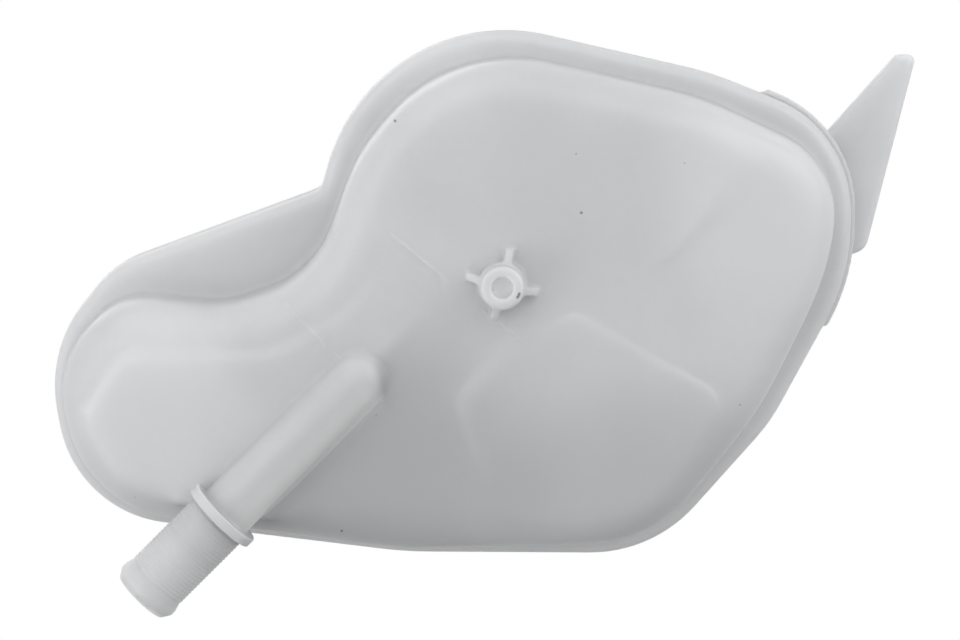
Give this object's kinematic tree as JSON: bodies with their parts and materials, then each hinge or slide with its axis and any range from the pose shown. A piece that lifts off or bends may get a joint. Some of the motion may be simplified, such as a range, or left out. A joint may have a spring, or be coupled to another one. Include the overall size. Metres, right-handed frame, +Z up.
{
  "type": "coolant expansion tank",
  "caption": "Translucent two-shell coolant expansion tank with a ribbed-end hose spigot, a gusseted locating peg, a fixing fin and a screw filler cap with relief valve.",
  "frame": {"origin": "on the locating peg's axis, at the level where its gussets begin", "axes": "+Z up as the tank sits in the car, with the filler cap on top and the peg below; +X from the small lobe to the large lobe and the fin; +Y to the side that the hose spigot points to"},
  "size_m": [0.2576, 0.1706, 0.1451],
  "materials": {
    "tank_lower": "milky translucent moulded plastic",
    "tank_upper": "milky translucent moulded plastic",
    "cap_plastic": "black moulded plastic",
    "insert_plastic": "dark moulded plastic",
    "seal_rubber": "smooth rubber",
    "valve_plate": "natural moulded plastic",
    "spring_steel": "drawn spring wire",
    "plunger_brass": "turned brass"
  },
  "bodies": {
    "tank": {"lower_shell": "tank_lower", "upper_shell": "tank_upper"},
    "insert": {"valve_insert": "insert_plastic", "neck_seal": "seal_rubber", "spring_retainer": "valve_plate", "relief_spring": "spring_steel"},
    "cap": {"cap_shell": "cap_plastic"},
    "relief_valve": {"relief_plate": "valve_plate", "relief_seal": "seal_rubber", "vacuum_spring": "spring_steel"},
    "vacuum_valve": {"vacuum_plunger": "plunger_brass"}
  },
  "joints": [
    {"name": "cap_lift", "type": "slide", "parent": "tank", "child": "insert", "axis": [0, 0, 1], "range_m": [0, 0.01]},
    {"name": "cap_turn", "type": "hinge", "parent": "insert", "child": "cap", "pos_m": [0.026, -0.004, 0.1295], "axis": [0, 0, 1], "range_deg": [0, 720]},
    {"name": "relief_open", "type": "slide", "parent": "insert", "child": "relief_valve", "axis": [0, 0, 1], "range_m": [0, 0.002], "stiffness_N_per_m": 5000, "deforming": ["relief_spring"]},
    {"name": "vacuum_open", "type": "slide", "parent": "relief_valve", "child": "vacuum_valve", "axis": [0, 0, -1], "range_m": [0, 0.0015], "stiffness_N_per_m": 300, "springref_m": -0.0002, "deforming": ["vacuum_spring"]}
  ],
  "couplings": [
    {"joint": "cap_turn", "follows": "cap_lift", "rad_per_m": 1256.6}
  ]
}
